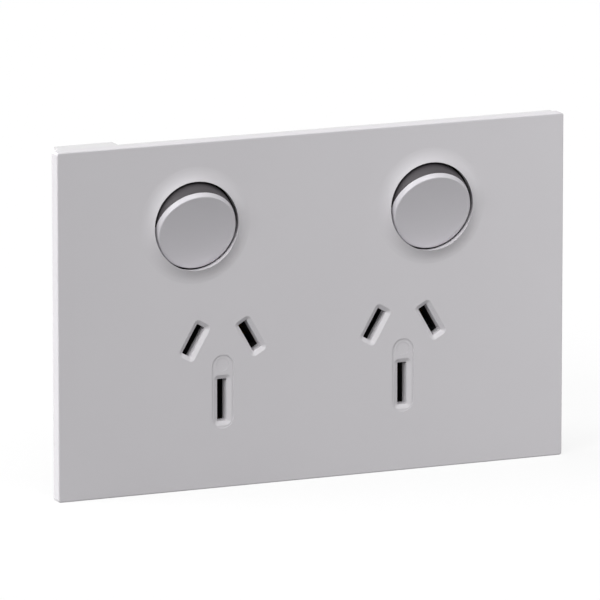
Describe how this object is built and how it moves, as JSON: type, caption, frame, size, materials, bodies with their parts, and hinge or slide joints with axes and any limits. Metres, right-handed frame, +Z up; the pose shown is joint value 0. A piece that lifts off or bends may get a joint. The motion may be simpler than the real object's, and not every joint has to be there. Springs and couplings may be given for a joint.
{
  "type": "double wall socket",
  "caption": "Flat wall socket plate with round rocker switches above three-slot outlets and a screw-terminal housing behind.",
  "frame": {"origin": "on the wall's surface, midway between the two fixing slots", "axes": "+X to the right seen from the front, +Z up, +Y into the wall"},
  "size_m": [0.1244, 0.0389, 0.08],
  "materials": {
    "cover_plastic": "satin moulded plastic, warm grey",
    "rocker_plastic": "satin moulded plastic, warm grey",
    "band_plastic": "moulded plastic, charcoal",
    "frame_plastic": "moulded plastic, pale grey",
    "housing_plastic": "moulded plastic, pale grey",
    "cover_tray_plastic": "moulded plastic, black",
    "carrier_plastic": "moulded nylon, black",
    "sheet_brass": "stamped sheet brass",
    "block_brass": "machined brass",
    "contact_silver": "silver contact metal",
    "spring_steel": "spring steel wire",
    "screw_steel": "zinc-plated steel"
  },
  "bodies": {
    "socket": {"cover_plate": "cover_plastic", "base_frame": "frame_plastic", "mechanism_cover": "cover_tray_plastic", "rear_housing": "housing_plastic", "active_bar": "sheet_brass", "neutral_bar": "sheet_brass", "earth_bar": "sheet_brass", "active_terminal": "block_brass", "loop_terminal": "block_brass", "neutral_terminal": "block_brass", "earth_terminal": "block_brass", "terminal_screws": "screw_steel", "housing_screws": "screw_steel", "left_pivot_strap": "sheet_brass", "left_fixed_tip": "contact_silver", "right_pivot_strap": "sheet_brass", "right_fixed_tip": "contact_silver"},
    "left_rocker": {"left_rocker_cap": "rocker_plastic", "left_on_band": "band_plastic", "left_rocker_carrier": "carrier_plastic", "left_plunger_spring": "spring_steel"},
    "left_plunger_body": {"left_plunger": "carrier_plastic"},
    "left_contact": {"left_rocking_contact": "sheet_brass", "left_moving_tip": "contact_silver"},
    "right_rocker": {"right_rocker_cap": "rocker_plastic", "right_on_band": "band_plastic", "right_rocker_carrier": "carrier_plastic", "right_plunger_spring": "spring_steel"},
    "right_plunger_body": {"right_plunger": "carrier_plastic"},
    "right_contact": {"right_rocking_contact": "sheet_brass", "right_moving_tip": "contact_silver"}
  },
  "joints": [
    {"name": "left_rocker_tilt", "type": "hinge", "parent": "socket", "child": "left_rocker", "pos_m": [-0.02893, -0.0052, 0.021], "axis": [-1, 0, 0], "range_deg": [0, 34]},
    {"name": "left_plunger_slide", "type": "slide", "parent": "left_rocker", "child": "left_plunger_body", "axis": [0, -0.9563, -0.2924], "range_m": [0, 0.0008], "stiffness_N_per_m": 100, "springref_m": -0.004, "deforming": ["left_plunger_spring"]},
    {"name": "left_contact_tilt", "type": "hinge", "parent": "socket", "child": "left_contact", "pos_m": [-0.02893, 0.00945, 0.021], "axis": [1, 0, 0], "range_deg": [0, 17]},
    {"name": "right_rocker_tilt", "type": "hinge", "parent": "socket", "child": "right_rocker", "pos_m": [0.02893, -0.0052, 0.021], "axis": [-1, 0, 0], "range_deg": [0, 34]},
    {"name": "right_plunger_slide", "type": "slide", "parent": "right_rocker", "child": "right_plunger_body", "axis": [0, -0.9563, -0.2924], "range_m": [0, 0.0008], "stiffness_N_per_m": 100, "springref_m": -0.004, "deforming": ["right_plunger_spring"]},
    {"name": "right_contact_tilt", "type": "hinge", "parent": "socket", "child": "right_contact", "pos_m": [0.02893, 0.00945, 0.021], "axis": [1, 0, 0], "range_deg": [0, 17]}
  ],
  "couplings": [
    {"joint": "left_contact_tilt", "follows": "left_rocker_tilt", "ratio": 0.5},
    {"joint": "right_contact_tilt", "follows": "right_rocker_tilt", "ratio": 0.5}
  ]
}
